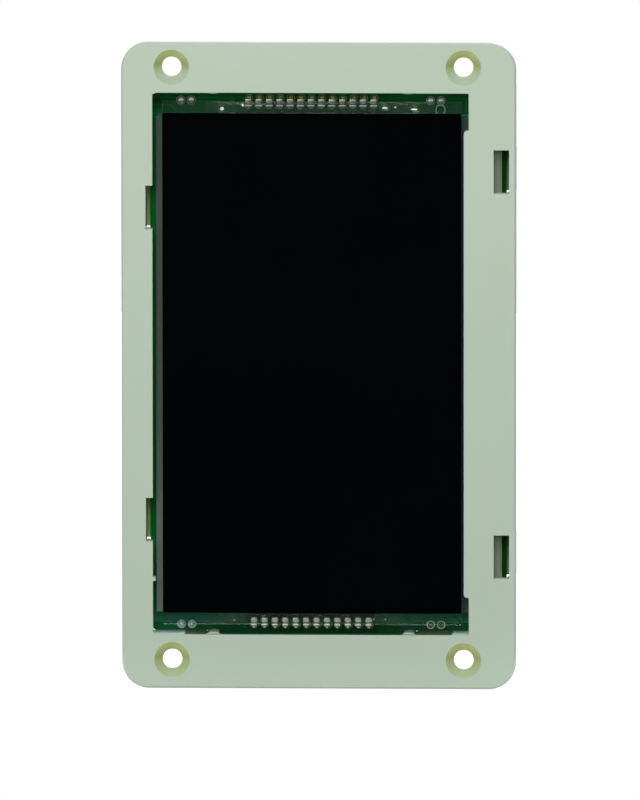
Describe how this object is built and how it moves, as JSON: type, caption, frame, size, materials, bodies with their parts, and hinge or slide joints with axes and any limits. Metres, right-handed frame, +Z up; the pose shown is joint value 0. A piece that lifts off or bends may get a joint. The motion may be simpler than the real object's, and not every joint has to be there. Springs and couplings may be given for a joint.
{
  "type": "elevator floor indicator display",
  "caption": "Segment display module for a lift panel: black glass on a circuit board, snapped into a pale flanged frame with countersunk fixing holes.",
  "frame": {"origin": "centre of the four fixing holes, on the front face of the flange", "axes": "+X to the right as seen from the front, +Z up, the display faces -Y"},
  "size_m": [0.096, 0.0181, 0.158],
  "materials": {
    "frame_plastic": "moulded, pale grey-green, fine satin",
    "board_laminate": "green solder mask over glass laminate",
    "tinned_copper": "tin plated",
    "solder": "bright solder",
    "polarizer_film": "black film, smooth",
    "display_glass": "float glass",
    "clear_resin": "clear cured resin",
    "diffuser_film": "frosted film",
    "clear_acrylic": "polished clear sheet",
    "reflector_film": "white film",
    "lamp_board": "bare laminate edge",
    "led_package": "white package with yellow phosphor",
    "chip_epoxy": "moulded black epoxy",
    "ferrite": "sintered dark grey",
    "black_nylon": "moulded",
    "can_aluminium": "drawn, satin",
    "drawn_steel": "bright drawn can",
    "ceramic": "fired ceramic",
    "resistor_glaze": "black glaze",
    "white_nylon": "moulded natural nylon",
    "gilt_pins": "gold flashed"
  },
  "bodies": {
    "root": {"backlight_leds": "led_package", "bus_connector_housing": "white_nylon", "bus_connector_pins": "tinned_copper", "bus_transceiver_body": "chip_epoxy", "bus_transceiver_leads": "tinned_copper", "capacitor_bases": "black_nylon", "capacitor_cans": "can_aluminium", "capacitor_tabs": "tinned_copper", "ceramic_capacitors": "ceramic", "chip_ends": "solder", "chip_resistors": "resistor_glaze", "circuit_board": "board_laminate", "corner_pads": "tinned_copper", "corner_solder": "solder", "crystal_can": "drawn_steel", "diffuser_sheet": "diffuser_film", "diode_bodies": "chip_epoxy", "diode_tabs": "tinned_copper", "display_driver_body": "chip_epoxy", "display_driver_leads": "tinned_copper", "display_front_glass": "display_glass", "display_pin_solder": "solder", "display_pins_bottom": "tinned_copper", "display_pins_top": "tinned_copper", "display_rear_glass": "display_glass", "front_frame": "frame_plastic", "front_polarizer": "polarizer_film", "header_pins": "gilt_pins", "header_strip": "black_nylon", "inductor_core": "ferrite", "inductor_shield": "ferrite", "led_bar_board": "lamp_board", "led_bar_pins": "tinned_copper", "light_guide": "clear_acrylic", "microcontroller_body": "chip_epoxy", "microcontroller_leads": "tinned_copper", "pin_resin_bottom": "clear_resin", "pin_resin_top": "clear_resin", "power_connector_housing": "white_nylon", "power_connector_pins": "tinned_copper", "rear_polarizer": "polarizer_film", "reflector_sheet": "reflector_film", "regulator_body": "chip_epoxy", "regulator_tab": "tinned_copper"}
  },
  "joints": []
}
